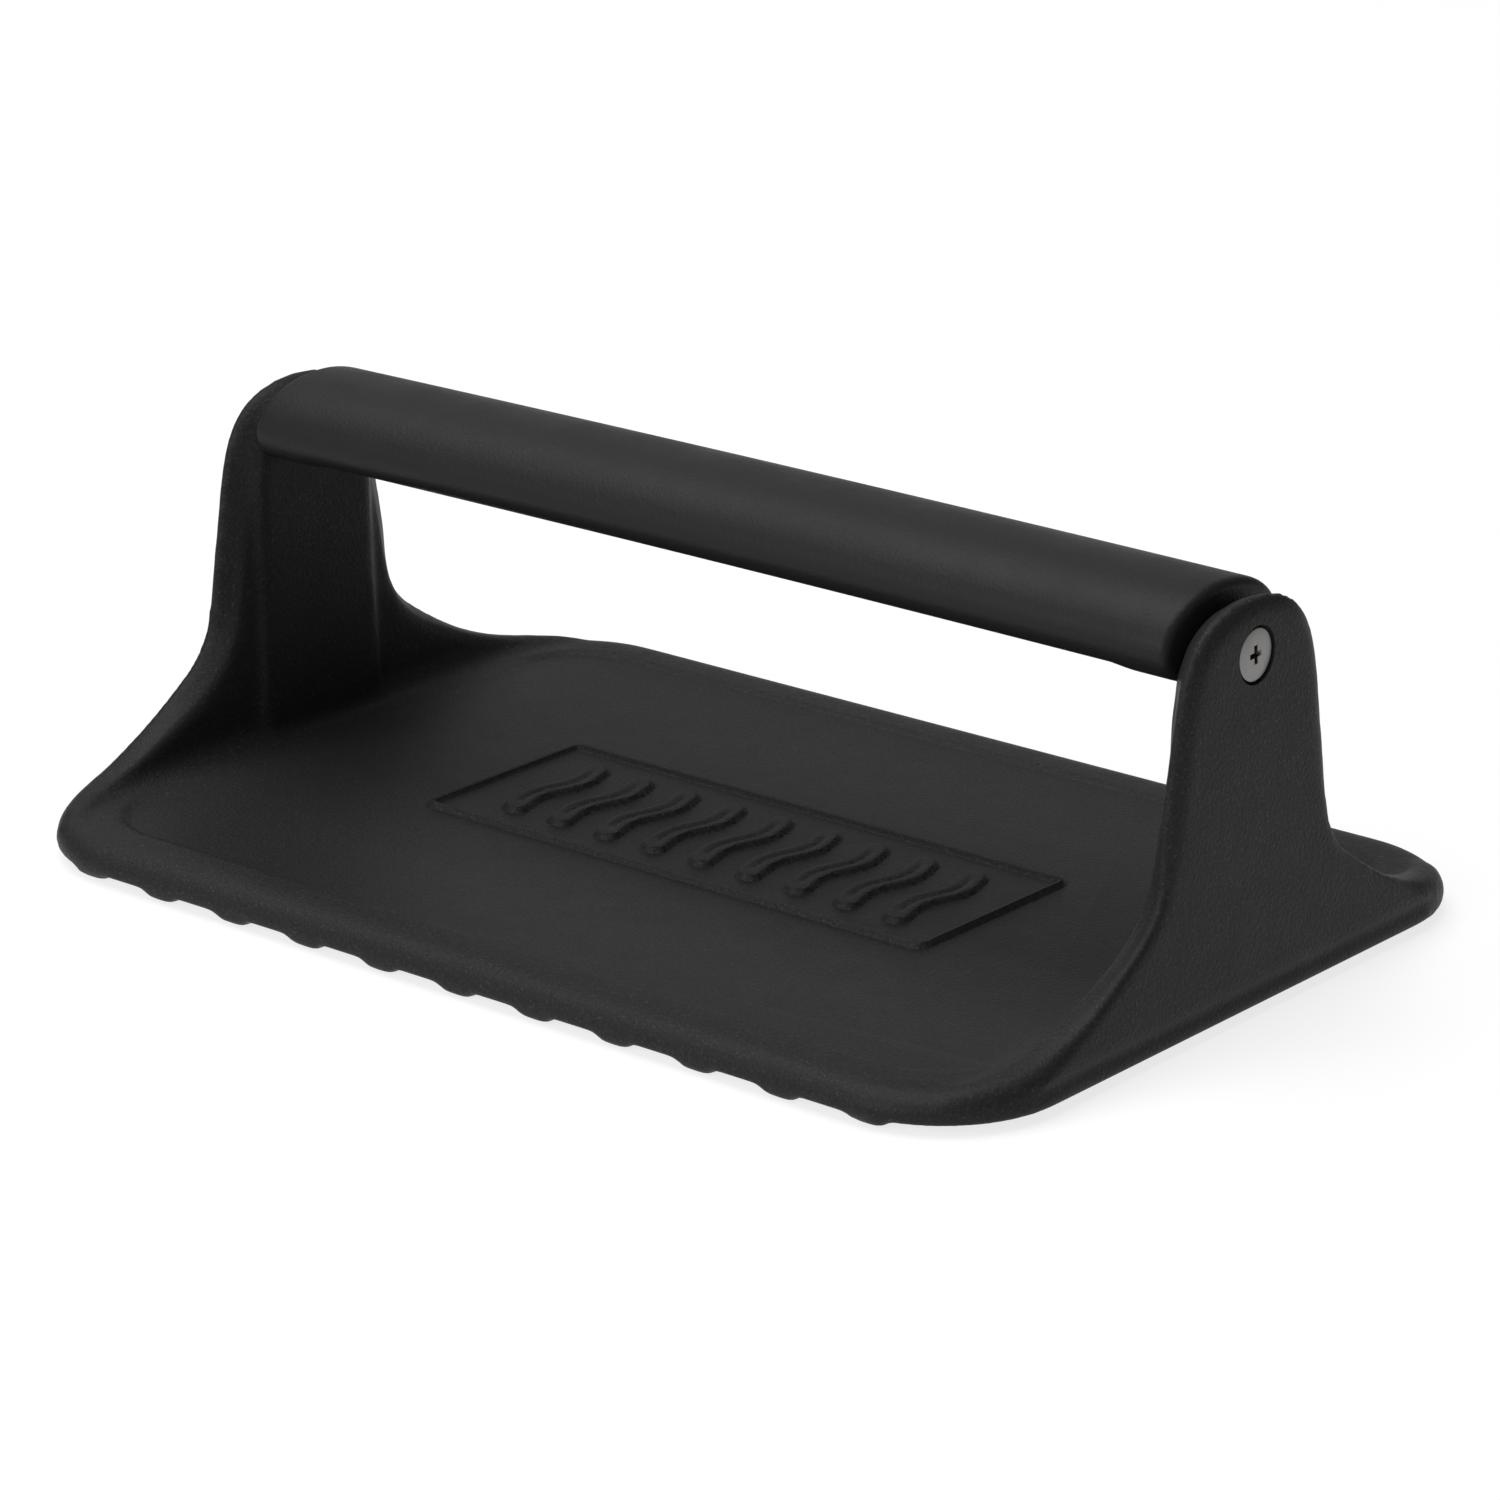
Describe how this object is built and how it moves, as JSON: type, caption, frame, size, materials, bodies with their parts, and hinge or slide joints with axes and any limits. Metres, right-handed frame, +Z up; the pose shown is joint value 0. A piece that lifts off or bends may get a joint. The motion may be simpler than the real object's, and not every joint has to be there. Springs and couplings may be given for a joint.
{
  "type": "bacon press",
  "caption": "Cast-iron bacon press: rounded rectangular plate, parallel searing ribs below, an end wall rising at each end and an oval grip screwed between them.",
  "frame": {"origin": "on the ground under the middle of the plate, at the level of the rib crests", "axes": "+X along the grip and the plate's long side, +Y across the plate along the ribs, +Z up"},
  "size_m": [0.22, 0.1538, 0.0769],
  "materials": {
    "coated_iron": "cast iron under a satin black baked coating with a fine orange-peel texture",
    "grip_plastic": "satin black heat-resistant moulded plastic with a fine grain",
    "screw_steel": "zinc-plated steel, satin",
    "insert_brass": "plain turned brass"
  },
  "bodies": {
    "root": {"press_base": "coated_iron", "handle_grip": "grip_plastic", "left_screw": "screw_steel", "right_screw": "screw_steel", "left_insert": "insert_brass", "right_insert": "insert_brass"}
  },
  "joints": []
}
